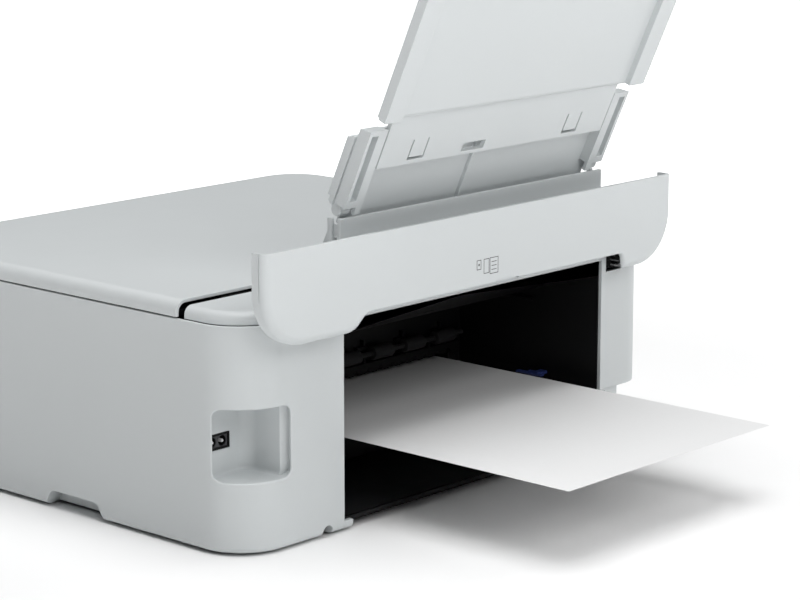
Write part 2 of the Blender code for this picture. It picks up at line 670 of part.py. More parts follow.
def make_support_top(pivot):
    """Top stage: a wide plate with raised rails along both sides."""
    half = 0.1295
    plate = leaning_block((FEED_X - half, FEED_X + half), (0.0712, 0.1850), (-0.0024, 0.0006))
    lip = leaning_block((FEED_X - half + 0.004, FEED_X + half - 0.004), (0.0696, 0.0720), (-0.0021, 0.0002))
    join = [lip]
    for side in (1, -1):
        rail = sorted((FEED_X + side * half, FEED_X + side * (half - 0.016)))
        join.append(leaning_block(rail, (0.0700, 0.1850), (-0.0010, 0.0050)))
    grip = [leaning_block((FEED_X - 0.030, FEED_X + 0.030), (0.1790, 0.20), (-0.02, 0.02))]
    piece("support_top", plate, LIGHT_PLASTIC, join, grip, pivot)


def make_support():
    pivot = world(0, *SUPPORT_AXIS)
    make_support_frame(pivot)
    make_support_mid(pivot)
    make_support_top(pivot)


def make_power():
    """Mains inlet, power supply, main board and data socket."""
    inlet_x, inlet_h = inlet_span()
    centre = (sum(inlet_x) / 2, sum(inlet_h) / 2)
    spans = [(inlet_x[0] + GAP, inlet_x[1] - GAP), (inlet_h[0] + GAP, inlet_h[1] - GAP)]
    body = block(spans[0], (0.0345, 0.055), spans[1])
    places = [world(centre[0] + side * 0.0043, 0, centre[1]) for side in (1, -1)]
    wells = [turned("y", place, [(0.030, 0.0040), (0.044, 0.0040)], 20) for place in places]
    pins = [turned("y", place, [(0.0362, 0.0012), (0.048, 0.0012)], 12) for place in places]
    inlet = piece("power_inlet", body, DARK_PLASTIC, cut=wells)
    combine(inlet, pins, "UNION")
    supply = block((0.1170, 0.1880), (0.060, 0.132), (0.0068, 0.046))
    fins = [block((0.120 + 0.008 * k, 0.123 + 0.008 * k), (0.066, 0.126), (0.044, 0.054)) for k in range(8)]
    piece("power_supply", supply, STEEL, join=fins)
    board = block((-0.1580, -0.1565), (0.045, 0.128), (0.045, 0.115))
    chips = [
        block((-0.1610, -0.1575), (0.060, 0.078), (0.070, 0.088)),
        block((-0.1640, -0.1575), (0.090, 0.120), (0.052, 0.060)),
        block((-0.1600, -0.1575), (0.090, 0.106), (0.080, 0.096)),
    ]
    piece("main_board", board, BOARD, join=chips)
    port = block((-0.1891, -0.1769), (0.0357, 0.052), (0.0124, 0.0231))
    mouth = block((-0.1875, -0.1785), (0.030, 0.046), (0.0140, 0.0215))
    tongue = block((-0.1855, -0.1805), (0.038, 0.050), (0.0165, 0.0190))
    usb = piece("usb_port", port, STEEL, cut=[mouth])
    combine(usb, [tongue], "UNION")


def make_engine():
    """Steel frame, rails, platen, maintenance station, motors and belt."""
    plate = block((-0.1850, 0.1850), (0.1500, 0.1515), (0.058, 0.116))
    sides = [
        block((-0.1865, -0.1850 + GAP), (0.1360, 0.2350), (0.0036, 0.116)),
        block((0.1850 - GAP, 0.1865), (0.1500, 0.2350), (0.0036, 0.116)),
    ]
    pinion_axis = (ROLLER_AXIS[0] + FEED_GEAR_RADIUS + MOTOR_PINION_RADIUS + GAP, ROLLER_AXIS[1])
    holes = [
        along_x(ROLLER_AXIS, [(-0.20, 0.0036), (-0.18, 0.0036)], 16),
        along_x(pinion_axis, [(-0.20, 0.0030), (-0.18, 0.0030)], 16),
        turned("y", world(MOTOR_X, 0, BELT_HEIGHT), [(0.14, 0.0035), (0.16, 0.0035)], 16),
    ]
    piece("engine_frame", plate, STEEL, join=sides, cut=holes)
    rail = along_x(RAIL_AXIS, [(-0.1843, 0.004), (0.1843, 0.004)], 16)
    piece("carriage_rail", rail, STEEL)
    outline = [(0.104, 0.0400), (-0.152, 0.0400), (-0.152, 0.0455)]
    for k in range(16):
        x = -0.148 + 0.016 * k
        outline += [(x, 0.0455), (x, 0.0470), (x + 0.003, 0.0470), (x + 0.003, 0.0455)]
    outline.append((0.104, 0.0455))
    piece("platen", prism_y(outline, 0.1525, 0.2080), DARK_PLASTIC)
    station = block((0.114, 0.180), (0.160, 0.215), (0.0300, 0.0470))
    well = block((0.122, 0.160), (0.170, 0.205), (0.0380, 0.06))
    piece("maintenance_station", station, DARK_PLASTIC, cut=[well])
    motor = [(-0.1846, 0.0025), (-0.1840, 0.011), (-0.160, 0.011)]
    piece("feed_motor", along_x(pinion_axis, motor, 20), STEEL)
    pinion = [(-0.1940, MOTOR_PINION_RADIUS), (-0.1895, MOTOR_PINION_RADIUS)]
    pinion += [(-0.1895, 0.0020), (-0.1850, 0.0020)]
    pivot = world(0, *pinion_axis)
    piece("motor_pinion", along_x(pinion_axis, pinion, 16), DARK_PLASTIC, pivot=pivot)
    pivot = world(0, *ROLLER_AXIS)
    gear = [(-0.1940, FEED_GEAR_RADIUS), (-0.1900, FEED_GEAR_RADIUS), (-0.1900, 0.006), (-0.1885, 0.006)]
    bore = along_x(ROLLER_AXIS, [(-0.20, 0.0032), (-0.18, 0.0032)], 16)
    piece("feed_gear", along_x(ROLLER_AXIS, gear, 40), DARK_PLASTIC, cut=[bore], pivot=pivot)
    profile = [(-0.1945, 0.0028), (-0.150, 0.0028), (-0.150, 0.006), (0.104, 0.006), (0.104, 0.0028)]
    profile.append((0.1130, 0.0028))
    piece("feed_roller", along_x(ROLLER_AXIS, profile, 20), RUBBER, pivot=pivot)
    profile = [(-0.175, 0.002)]
    for k in range(6):
        start = -0.132 + 0.039 * k
        profile += [(start, 0.002), (start, 0.0048), (start + 0.022, 0.0048), (start + 0.022, 0.002)]
    profile.append((0.110, 0.002))
    piece("exit_roller", along_x(EXIT_AXIS, profile, 12), RUBBER, pivot=world(0, *EXIT_AXIS))


def stadium(half, radius, middle, steps=6):
    """Outline of a belt loop, (x, height)."""
    points = arc((half, middle), radius, -90, 90, steps)
    return points + arc((-half, middle), radius, 90, 270, steps)


def make_carriage():
    belt = prism_y(stadium(MOTOR_X, 0.0072, BELT_HEIGHT), 0.1545, 0.1585)
    inside = prism_y(stadium(MOTOR_X, 0.0060, BELT_HEIGHT), 0.15, 0.17)
    piece("carriage_belt", belt, RUBBER, cut=[inside])
    motor = [(0.122, 0.014), (0.1488, 0.014), (0.1492, 0.0028), (0.1540, 0.0028)]
    motor += [(0.1540, 0.0055), (0.1590, 0.0055)]
    piece("carriage_motor", turned("y", world(MOTOR_X, 0, BELT_HEIGHT), motor, 20), STEEL)
    holder = block((0.072, 0.165), (0.1610, 0.2150), (0.0530, 0.1080))
    cut = [
        block((0.075, 0.162), (0.1745, 0.2125), (0.0600, 0.12)),
        along_x(RAIL_AXIS, [(0.0, 0.0045), (0.2, 0.0045)], 16),
    ]
    piece("print_carriage", holder, DARK_PLASTIC, cut=cut)
    head = block((0.080, 0.157), (0.180, 0.207), (0.0495, 0.0526))
    piece("print_head", head, STEEL)
    for name, left, right in (("ink_black", 0.0755, 0.1060), ("ink_colour", 0.1066, 0.1615)):
        body = block((left, right), (0.1750, 0.2120), (0.0605, 0.1060))
        tab = block((left + 0.004, right - 0.004), (0.2000, 0.2110), (0.105, 0.1120))
        piece(name, body, DARK_PLASTIC, join=[tab])


def make_front():
    """Tilting control panel, door, output tray and cassette."""
    width = (-FRONT_HALF + 0.001, FRONT_HALF - 0.001)
    panel = arc(PANEL_AXIS, 0.0029, 0, 180, 8) + [(0.3462, 0.1000), (0.3520, 0.1000)]
    window = block((-0.051, 0.051), (0.3506, 0.36), (0.1080, 0.1300))
    button = world(BUTTON[0], 0, BUTTON[1])
    well = turned("y", button, [(0.3480, 0.0065), (0.36, 0.0065)], 24)
    pivot = world(0, *PANEL_AXIS)
    piece("control_panel", prism_x(panel, *width), LIGHT_PLASTIC, cut=[window, well], pivot=pivot)
    screen = block((-0.0505, 0.0505), (0.3510, 0.3519), (0.1085, 0.1295))
    piece("touch_screen", screen, DARK_PLASTIC, pivot=pivot)
    profile = [(0.3495, 0.0060), (0.3512, 0.0060), (0.3518, 0.0052)]
    pivot = world(BUTTON[0], 0.3495, BUTTON[1])
    piece("power_button", turned("y", button, profile, 24), LIGHT_PLASTIC, pivot=pivot)
    door = [(0.3490, 0.0990), (0.3490, 0.0495)] + arc(DOOR_AXIS, 0.0015, 180, 360, 8) + [(0.3520, 0.0990)]
    piece("front_door", prism_x(door, *width), LIGHT_PLASTIC, pivot=world(0, *DOOR_AXIS))
    tray = block((-0.125, 0.125), (0.2300, 0.3500), (0.0360, 0.0385))
    front = block(width, (0.3490, 0.3520), (0.0305, 0.0470))
    stops = [block((x, x + 0.003), (0.2300, 0.3500), (0.0365, 0.0420)) for x in (-0.125, 0.122)]
    piece("output_tray", tray, LIGHT_PLASTIC, join=[front] + stops)
    box = block((-0.138, 0.089), (0.0920, 0.3500), (0.0075, 0.0270))
    inside = block((-0.136, 0.087), (0.0940, 0.3470), (0.0095, 0.05))
    front = block(width, (0.3490, 0.3520), (0.0045, 0.0290))
    cassette = piece("paper_cassette", box, DARK_PLASTIC, cut=[inside])
    combine(cassette, [front], "UNION")


def make_sheet():
    x = (FEED_X - SHEET_WIDTH / 2, FEED_X + SHEET_WIDTH / 2)
    depth = (-SHEET_OUT, SHEET_LENGTH - SHEET_OUT)
    height = (SHEET_HEIGHT, SHEET_HEIGHT + SHEET_THICKNESS)
    piece("paper_sheet", block(x, depth, height), WHITE_PAPER)


def main():
    clear_scene()
    make_case()
    make_base()
    make_liner()
    make_bay_fittings()
    make_deck()
    make_feeder()
    make_guides()
    make_scanner()
    make_lid()
    make_rear_cover()
    make_support()
    make_power()
    make_engine()
    make_carriage()
    make_front()
    make_sheet()


main()
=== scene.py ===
"""Looks of the compact inkjet printer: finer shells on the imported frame, materials, floor, lights and camera.

Metres, +Z up, +X to the right seen from the front, +Y to the rear. As in the part's own source, a place on
the body is written as x, depth forwards from the rear towers' plane, and height above the base pan's level.
"""

import json
import math

import bmesh
import bpy
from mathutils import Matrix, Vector, noise

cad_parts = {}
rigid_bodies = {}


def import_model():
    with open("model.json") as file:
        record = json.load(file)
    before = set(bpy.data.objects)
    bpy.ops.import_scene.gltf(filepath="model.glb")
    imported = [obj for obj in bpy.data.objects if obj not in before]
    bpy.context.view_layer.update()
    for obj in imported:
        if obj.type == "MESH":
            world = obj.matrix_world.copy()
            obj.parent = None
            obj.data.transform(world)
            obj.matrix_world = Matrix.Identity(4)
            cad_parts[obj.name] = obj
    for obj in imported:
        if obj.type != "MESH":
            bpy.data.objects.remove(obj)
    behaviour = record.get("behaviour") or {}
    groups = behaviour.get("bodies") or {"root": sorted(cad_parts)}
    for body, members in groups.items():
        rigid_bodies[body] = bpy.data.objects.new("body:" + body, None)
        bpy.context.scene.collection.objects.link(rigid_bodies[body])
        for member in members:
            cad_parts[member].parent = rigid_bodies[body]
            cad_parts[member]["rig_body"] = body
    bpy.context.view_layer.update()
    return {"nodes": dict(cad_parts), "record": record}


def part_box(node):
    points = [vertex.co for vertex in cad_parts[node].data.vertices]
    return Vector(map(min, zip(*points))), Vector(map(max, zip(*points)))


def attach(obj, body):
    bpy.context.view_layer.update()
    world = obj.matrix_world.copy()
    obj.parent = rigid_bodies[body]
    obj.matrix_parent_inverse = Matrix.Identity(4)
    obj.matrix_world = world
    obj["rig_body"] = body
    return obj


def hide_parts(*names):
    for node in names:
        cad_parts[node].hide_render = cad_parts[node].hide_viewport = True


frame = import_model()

# The body's main dimensions, read from the frame.
CASE_LOW, CASE_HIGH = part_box("main_case")
SIDE_X = CASE_HIGH.x
REAR_Y = CASE_HIGH.y
BASE_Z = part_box("base_pan")[0].z - 0.0004
BODY_DEPTH = CASE_HIGH.y - CASE_LOW.y
SEAM = CASE_HIGH.z - BASE_Z

# Rounding and wall of the shells. The far rear corner is tighter than the other three.
CORNER_RADIUS = 0.035
FAR_RADIUS = 0.025
CORNER_STEPS = 28
WALL = 0.0028
COVER_WALL = 0.0025
BOTTOM_RADIUS = 0.004
BOTTOM_DROP = 0.0012
PAN_MARGIN = 0.005
LID_RADIUS = 0.008
DECK_RADIUS = 0.006
DECK_INSET = 0.0025
FINE_STEPS = 8
SOFT_EDGE = 0.00035
FACE_ANGLE = math.radians(38)
SMALLEST_RADIUS = 0.001
OUTSIDE = 0.01  # how far a cutter starts outside the surface that it opens


def spans(node):
    """A CAD node's (low, high) spans of x, depth and height."""
    low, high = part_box(node)
    return (low.x, high.x), (REAR_Y - high.y, REAR_Y - low.y), (low.z - BASE_Z, high.z - BASE_Z)


# Spans of the CAD nodes that the finer shells are fitted to.
LINER_X, LINER_DEPTH, LINER_HEIGHT = spans("bay_liner")
LINER = 0.002
BAY = (LINER_X[0] + LINER, LINER_X[1] - LINER)
BEAM_LOW = LINER_HEIGHT[1] - 0.0010
BAY_DEPTH = LINER_DEPTH[1] - LINER
LID_DEPTH, LID_HEIGHT = spans("scanner_lid")[1:]
DECK_DEPTH, DECK_HEIGHT = spans("deck_cover")[1:]
COVER_X, COVER_DEPTH, COVER_HEIGHT = spans("rear_cover")
HINGE_SPANS = (spans("cover_hinge_left")[0], spans("cover_hinge_right")[0])
FRONT_HALF = spans("front_door")[0][1] + 0.001
FRONT_TOP = 0.1400

# Power recess in the near rear corner, with the mains inlet in its front wall.
RECESS_SIDE_DEPTH = 0.0246
RECESS_REAR_X = SIDE_X - 0.042
RECESS_LOW = 0.044
RECESS_HIGH = 0.090
RECESS_DEPTH = 0.035
RECESS_CORNER = 0.0055
LIP = 0.0015
INLET_HOLE_X = (SIDE_X - 0.0236, SIDE_X - 0.0032)
INLET_HOLE_HEIGHT = (0.0602, 0.0708)

# Cable notch in the far rear corner, with the data socket's hole in its front wall.
NOTCH_X = -0.1685
NOTCH_DEPTH = 0.036
NOTCH_HIGH = 0.042
SOCKET_HOLE_X = (-0.1895, -0.1765)
SOCKET_HOLE_HEIGHT = (0.012, 0.0235)

# Finger recesses under both sides: a roof between two sloping ends.
GRIP_DEPTH = (0.1274, 0.1856)
GRIP_ROOF = (0.134, 0.179)
GRIP_HIGH = 0.0094
GRIP_REACH = 0.012


# ---------------------------------------------------------------- mesh tools


def world(x, depth, height):
    """World point of a place on the body."""
    return Vector((x, REAR_Y - depth, BASE_Z + height))


def loft(loops, ring=False):
    """Skin through loops of equal length, with end caps, or joined end to start as a ring."""
    bm = bmesh.new()
    rows = [[bm.verts.new(point) for point in loop] for loop in loops]
    pairs = list(zip(rows, rows[1:]))
    if ring:
        pairs.append((rows[-1], rows[0]))
    for low, high in pairs:
        for i in range(len(low)):
            j = (i + 1) % len(low)
            bm.faces.new((low[i], low[j], high[j], high[i]))
    if not ring:
        bm.faces.new(rows[0])
        bm.faces.new(rows[-1])
    bmesh.ops.remove_doubles(bm, verts=bm.verts, dist=0.000001)
    bmesh.ops.recalc_face_normals(bm, faces=bm.faces)
    return bm


def prism_z(outline, low, high):
    """Upright prism on an outline of (x, depth) points."""
    return loft([[world(x, d, h) for x, d in outline] for h in (low, high)])


def prism_x(outline, left, right):
    """Prism across the body on an outline of (depth, height) points."""
    return loft([[world(x, d, h) for d, h in outline] for x in (left, right)])


def prism_y(outline, rear, front):
    """Prism along the depth on an outline of (x, height) points."""
    return loft([[world(x, d, h) for x, h in outline] for d in (rear, front)])


def block(x, depth, height):
    """Box between (low, high) spans of x, depth and height."""
    outline = [(x[0], depth[0]), (x[1], depth[0]), (x[1], depth[1]), (x[0], depth[1])]
    return prism_z(outline, height[0], height[1])


def turned(axis, centre, profile, steps=32):
    """Solid of revolution: profile of (place along the axis, radius) about an axis through centre."""
    direction = {"x": Vector((1, 0, 0)), "y": Vector((0, -1, 0)), "z": Vector((0, 0, 1))}[axis]
    side = Vector((1, 0, 0)) if axis == "y" else Vector((0, 1, 0))
    other = direction.cross(side)
    loops = []
    for place, radius in profile:
        angles = [2 * math.pi * k / steps for k in range(steps)]
        spokes = [math.cos(a) * side + math.sin(a) * other for a in angles]
        loops.append([centre + direction * place + spoke * radius for spoke in spokes])
    return loft(loops)


def arc(centre, radius, start, end, steps):
    """Points of a circular arc, angles in degrees, ends included."""
    points = []
    for k in range(steps + 1):
        angle = math.radians(start + (end - start) * k / steps)
        points.append((centre[0] + radius * math.cos(angle), centre[1] + radius * math.sin(angle)))
    return points


def filleted(points, radius, steps=6):
    """Closed outline whose corners are rounded off, by at most about half of each side."""
    most = 0.48
    result = []
    for i, corner in enumerate(points):
        here = Vector(corner)
        before = Vector(points[i - 1]) - here
        after = Vector(points[(i + 1) % len(points)]) - here
        reach = min(radius, before.length * most, after.length * most)
        start = here + before.normalized() * reach
        end = here + after.normalized() * reach
        for k in range(steps + 1):
            t = k / steps
            result.append(tuple((1 - t) ** 2 * start + 2 * t * (1 - t) * here + t ** 2 * end))
    return result


def plan(inset, rear=0.0, front=BODY_DEPTH, square_rear=False, square_front=False):
    """Body outline seen from above, (x, depth), pulled in by an inset; a square side isn't pulled in."""
    x = SIDE_X - inset
    near = rear + (0 if square_rear else inset)
    far = front - (0 if square_front else inset)
    radius = max(CORNER_RADIUS - inset, SMALLEST_RADIUS)
    rear_radius = 0 if square_rear else radius
    far_radius = 0 if square_rear else max(FAR_RADIUS - inset, SMALLEST_RADIUS)
    front_radius = 0 if square_front else radius
    points = arc((x - rear_radius, near + rear_radius), rear_radius, -90, 0, CORNER_STEPS)
    points += arc((x - front_radius, far - front_radius), front_radius, 0, 90, CORNER_STEPS)
    points += arc((-x + front_radius, far - front_radius), front_radius, 90, 180, CORNER_STEPS)
    points += arc((-x + far_radius, near + far_radius), far_radius, 180, 270, CORNER_STEPS)
    return points


def plan_loop(inset, height, **sides):
    """Body outline at a height, as world points."""
    return [world(x, d, height) for x, d in plan(inset, **sides)]


def rounding(radius, steps=FINE_STEPS):
    """(inset, drop) pairs of a quarter-round edge, from the side face to the flat."""
    angles = [math.pi / 2 * k / steps for k in range(steps + 1)]
    return [(radius * (1 - math.cos(a)), radius * (1 - math.sin(a))) for a in angles]


def corner_block(side, inner_x, front, inset, low, high):
    """Block that fills a rear corner of the case, its outer corner rounded like the case's."""
    radius = (CORNER_RADIUS if side > 0 else FAR_RADIUS) - inset
    x = SIDE_X - inset
    outline = arc((x - radius, inset + radius), radius, -90, 0, CORNER_STEPS)
    outline = [(side * px, pd) for px, pd in outline]
    outline += [(side * x, front), (inner_x, front), (inner_x, inset)]
    return prism_z(outline, low, high)


def new_object(name, bm):
    """Object made from a bmesh, which it uses up."""
    mesh = bpy.data.meshes.new(name)
    bm.to_mesh(mesh)
    bm.free()
    obj = bpy.data.objects.new(name, mesh)
    bpy.context.scene.collection.objects.link(obj)
    return obj


def carved(name, base, joins=(), cuts=()):
    """Object from a base shape, with shapes joined and then cut by exact Booleans that are applied."""
    obj = new_object(name, base)
    helpers = []
    for operation, shapes in (("UNION", joins), ("DIFFERENCE", cuts)):
        for shape in shapes:
            helper = new_object(name + "_tool", shape)
            helpers.append(helper)
            modifier = obj.modifiers.new("tool", "BOOLEAN")
            modifier.operation = operation
            modifier.solver = "EXACT"
            modifier.object = helper
    if helpers:
        graph = bpy.context.evaluated_depsgraph_get()
        mesh = bpy.data.meshes.new_from_object(obj.evaluated_get(graph))
        obj.modifiers.clear()
        obj.data = mesh
        for helper in helpers:
            bpy.data.objects.remove(helper)
    return obj


def soften(obj, width, segments=3):
    """Rounds the sharp edges of an object's mesh."""
    bm = bmesh.new()
    bm.from_mesh(obj.data)
    bmesh.ops.remove_doubles(bm, verts=bm.verts, dist=0.00002)
    bmesh.ops.dissolve_limit(bm, angle_limit=math.radians(0.1), verts=bm.verts, edges=bm.edges)
    paired = [edge for edge in bm.edges if len(edge.link_faces) == 2]
    chosen = [edge for edge in paired if edge.calc_face_angle(0) > FACE_ANGLE]
    if chosen:
        bmesh.ops.bevel(
            bm, geom=chosen, offset=width, segments=segments, profile=0.5, affect="EDGES", clamp_overlap=False
        )
    bmesh.ops.recalc_face_normals(bm, faces=bm.faces)
    bm.to_mesh(obj.data)
    bm.free()
    return obj


def shade(obj):
    """Smooth shading whose wide faces stay flat."""
    obj.data.shade_smooth()
    obj.data.set_sharp_from_angle(angle=FACE_ANGLE)
    modifier = obj.modifiers.new("normals", "WEIGHTED_NORMAL")
    modifier.keep_sharp = True


def place(obj, body, slot, *nodes, look=None):
    """Gives a finished piece its shading, the material of its slot and its body, and hides the CAD nodes that
    it stands for.
    """
    shade(obj)
    obj.data.materials.clear()
    obj.data.materials.append(MATERIALS[look or slot])
    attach(obj, body)
    if nodes:
        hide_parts(*nodes)


def body_of(node):
    return frame["nodes"][node]["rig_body"]


def refined(node, width, segments=2, look=None):
    """Copy of a CAD node with its edges rounded, in the node's place."""
    bm = bmesh.new()
    bm.from_mesh(frame["nodes"][node].data)
    obj = new_object(node + "_fine", bm)
    soften(obj, width, segments=segments)
    place(obj, body_of(node), SLOTS[node], node, look=look)


# ---------------------------------------------------------------- materials


def add_node(tree, kind, values=None, **settings):
    """Shader node with its settings, and with values or other nodes' sockets on its inputs."""
    made = tree.nodes.new(kind)
    for key, value in settings.items():
        setattr(made, key, value)
    for key, value in (values or {}).items():
        if isinstance(value, bpy.types.NodeSocket):
            tree.links.new(value, made.inputs[key])
        else:
            made.inputs[key].default_value = value
    return made


def new_material(name, roughness, metallic=0.0):
    """Material with its node tree and its Principled shader."""
    made = bpy.data.materials.new(name)
    made.use_nodes = True
    shader = made.node_tree.nodes["Principled BSDF"]
    shader.inputs["Roughness"].default_value = roughness
    shader.inputs["Metallic"].default_value = metallic
    return made, made.node_tree, shader


def ranged(tree, value, low, high):
    """A value from 0 to 1 spread between two others."""
    values = {"Value": value, "To Min": low, "To Max": high}
    return add_node(tree, "ShaderNodeMapRange", values).outputs["Result"]


def cloud(tree, scale, detail=2.0, stretch=(1, 1, 1)):
    """Noise value over the object's own coordinates, features 1/scale metres across."""
    coordinates = add_node(tree, "ShaderNodeTexCoord").outputs["Object"]
    mapped = add_node(tree, "ShaderNodeMapping", {"Vector": coordinates, "Scale": stretch}).outputs["Vector"]
    values = {"Vector": mapped, "Scale": scale, "Detail": detail, "Roughness": 0.55}
    return add_node(tree, "ShaderNodeTexNoise", values).outputs["Fac"]


def tinted(tree, factor, low, high):
    """Colour between two tones."""
    mix = add_node(tree, "ShaderNodeMix", {"Factor": factor}, data_type="RGBA")
    mix.inputs["A"].default_value = (*low, 1)
    mix.inputs["B"].default_value = (*high, 1)
    return mix.outputs["Result"]


def scaled(colour, share):
    """Lighter or darker tone of a colour."""
    return tuple(min(1.0, c * share) for c in colour)


def bumped(tree, shader, height, distance, strength):
    """Relief on a shader, a distance high in metres."""
    values = {"Height": height, "Distance": distance, "Strength": strength}
    bump = add_node(tree, "ShaderNodeBump", values)
    tree.links.new(bump.outputs["Normal"], shader.inputs["Normal"])


def edge_mask(tree, radius):
    """1 along convex and concave edges, 0 on open faces."""
    soft = add_node(tree, "ShaderNodeBevel", {"Radius": radius}, samples=4).outputs["Normal"]
    plain = add_node(tree, "ShaderNodeNewGeometry").outputs["Normal"]
    dot = add_node(tree, "ShaderNodeVectorMath", operation="DOT_PRODUCT")
    tree.links.new(soft, dot.inputs[0])
    tree.links.new(plain, dot.inputs[1])
    values = {"Value": dot.outputs["Value"], "From Min": 1.0, "From Max": 0.8}
    return add_node(tree, "ShaderNodeMapRange", values).outputs["Result"]


def moulded(name, colour, roughness, grain=2200, depth=0.00002, painted_edge_highlight=True, shine=0.5):
    """Injection-moulded plastic: fine spark-eroded grain, faint flow tones, and a painted highlight that makes
    the edges paler.
    """
    made, tree, shader = new_material(name, roughness)
    shader.inputs["Specular IOR Level"].default_value = shine
    base = tinted(tree, cloud(tree, 7), scaled(colour, 0.985), scaled(colour, 1.015))
    # Painted highlight: along convex and concave edges the colour is mixed towards a paler tone.
    if painted_edge_highlight:
        mix = add_node(tree, "ShaderNodeMix", {"Factor": edge_mask(tree, 0.0007)}, data_type="RGBA")
        tree.links.new(base, mix.inputs["A"])
        mix.inputs["B"].default_value = (*scaled(colour, 1.05), 1)
        base = mix.outputs["Result"]
    tree.links.new(base, shader.inputs["Base Color"])
    sheen = ranged(tree, cloud(tree, 38, 4.0), roughness - 0.05, roughness + 0.05)
    tree.links.new(sheen, shader.inputs["Roughness"])
    bumped(tree, shader, cloud(tree, grain, 3.0), depth, 0.35)
    return made


def brushed(name, colour, roughness, stretch, metallic=1.0):
    """Metal with fine drawn scratches along one direction."""
    made, tree, shader = new_material(name, roughness, metallic)
    scratches = cloud(tree, 900, 2.0, stretch)
    tones = tinted(tree, scratches, scaled(colour, 0.9), scaled(colour, 1.1))
    tree.links.new(tones, shader.inputs["Base Color"])
    tree.links.new(ranged(tree, scratches, roughness - 0.08, roughness + 0.12), shader.inputs["Roughness"])
    bumped(tree, shader, scratches, 0.00001, 0.4)
    return made


def soft_rubber(name, colour):
    """Matt rubber with specks of dust and a fine open grain."""
    made, tree, shader = new_material(name, 0.85)
    dust = cloud(tree, 320, 4.0)
    tones = tinted(tree, dust, scaled(colour, 0.75), scaled(colour, 1.5))
    tree.links.new(tones, shader.inputs["Base Color"])
    tree.links.new(ranged(tree, dust, 0.72, 0.95), shader.inputs["Roughness"])
    bumped(tree, shader, cloud(tree, 1500, 3.0), 0.00005, 0.6)
    return made


def fibre_sheet(name, colour, fibres, depth):
    """Paper or foam film: fibres that show in tone, roughness and relief."""
    made, tree, shader = new_material(name, 0.8)
    weave = cloud(tree, fibres, 6.0, (1.0, 0.45, 1.0))
    tones = tinted(tree, weave, scaled(colour, 0.975), scaled(colour, 1.02))
    tree.links.new(tones, shader.inputs["Base Color"])
    tree.links.new(ranged(tree, weave, 0.72, 0.88), shader.inputs["Roughness"])
    bumped(tree, shader, weave, depth, 0.5)
    return made


def clear_glass(name):
    """Faintly green glass with wiped-on smears."""
    made, tree, shader = new_material(name, 0.02)
    shader.inputs["Base Color"].default_value = (0.86, 0.93, 0.92, 1)
    shader.inputs["Transmission Weight"].default_value = 0.85
    shader.inputs["IOR"].default_value = 1.5
    tree.links.new(ranged(tree, cloud(tree, 30, 3.0), 0.015, 0.06), shader.inputs["Roughness"])
    return made


def solder_mask(name):
    """Green circuit board with raised paler tracks."""
    made, tree, shader = new_material(name, 0.45)
    tracks = cloud(tree, 160, 0.0, (1, 5, 1))
    tones = tinted(tree, tracks, (0.012, 0.085, 0.04), (0.03, 0.16, 0.08))
    tree.links.new(tones, shader.inputs["Base Color"])
    tree.links.new(ranged(tree, tracks, 0.3, 0.6), shader.inputs["Roughness"])
    bumped(tree, shader, tracks, 0.00004, 0.5)
    return made


LIGHT = (0.62, 0.648, 0.655)
DARK = (0.0055, 0.0055, 0.006)
MATERIALS = {
    "light_plastic": moulded("light_plastic", LIGHT, 0.42),
    "dark_plastic": moulded("dark_plastic", DARK, 0.5, painted_edge_highlight=False, shine=0.2),
    "blue_plastic": moulded("blue_plastic", (0.018, 0.032, 0.13), 0.4, painted_edge_highlight=False),
    "screen_plastic": moulded("screen_plastic", (0.006, 0.006, 0.008), 0.12, 600, 0.000004, False),
    "rubber": soft_rubber("rubber", (0.014, 0.014, 0.015)),
    "steel": brushed("steel", (0.55, 0.56, 0.58), 0.3, (0.05, 1, 1)),
    "socket_metal": brushed("socket_metal", (0.78, 0.78, 0.8), 0.3, (1, 0.05, 1), 0.3),
    "glass": clear_glass("glass"),
    "board": solder_mask("board"),
    # Paler grey for the far hinge's ribs: a painted highlight on dark plastic.
    "hinge_painted_highlight": moulded("hinge_painted_highlight", (0.16, 0.165, 0.17), 0.4, painted_edge_highlight=False),
    # Darker copy of the dark plastic: painted shade for the hopper deep inside the bay.
    "bay_painted_shade": moulded("bay_painted_shade", (0.0025, 0.0025, 0.003), 0.65, painted_edge_highlight=False, shine=0.08),
    "supply_case": moulded("supply_case", (0.05, 0.05, 0.055), 0.5, 900, 0.00004, False),
    "sheet_paper": fibre_sheet("sheet_paper", (0.8, 0.8, 0.8), 700, 0.00001),
    "white_foam": fibre_sheet("white_foam", (0.8, 0.8, 0.8), 1100, 0.00003),
}
SLOTS = {part["node"]: part["material_slot"] for part in frame["record"]["subparts"]}


def dress_frame():
    """Every CAD node takes the material of its slot."""
    for name, obj in frame["nodes"].items():
        obj.data.materials.clear()
        obj.data.materials.append(MATERIALS[SLOTS[name]])


# ---------------------------------------------------------------- case


def depth_to_skin(place, inwards):
    """How far along a direction the case's outer skin lies from a place near its rounded corner."""
    centre = Vector((SIDE_X - CORNER_RADIUS, CORNER_RADIUS))
    offset = place - centre
    along = offset.dot(inwards)
    inside = along ** 2 - offset.length_squared + CORNER_RADIUS ** 2
    if inside > 0:
        reach = -along - math.sqrt(inside)
        if (place + inwards * reach).x >= centre.x:
            return reach
    return -place.y / inwards.y


def mouth_outline(half, tall, radius):
    """Rounded rectangle with extra points along its upper and lower edges, which follow the curved skin."""
    half_points = 12
    reach = half - radius
    points = []
    for turn, (side, rise) in enumerate(((1, 1), (-1, 1), (-1, -1), (1, -1))):
        points += arc((side * reach, rise * (tall - radius)), radius, 90 * turn, 90 * turn + 90, FINE_STEPS)
        if turn % 2 == 0:
            points += [(side * reach * (1 - k / half_points), rise * tall) for k in range(1, 2 * half_points)]
    return points


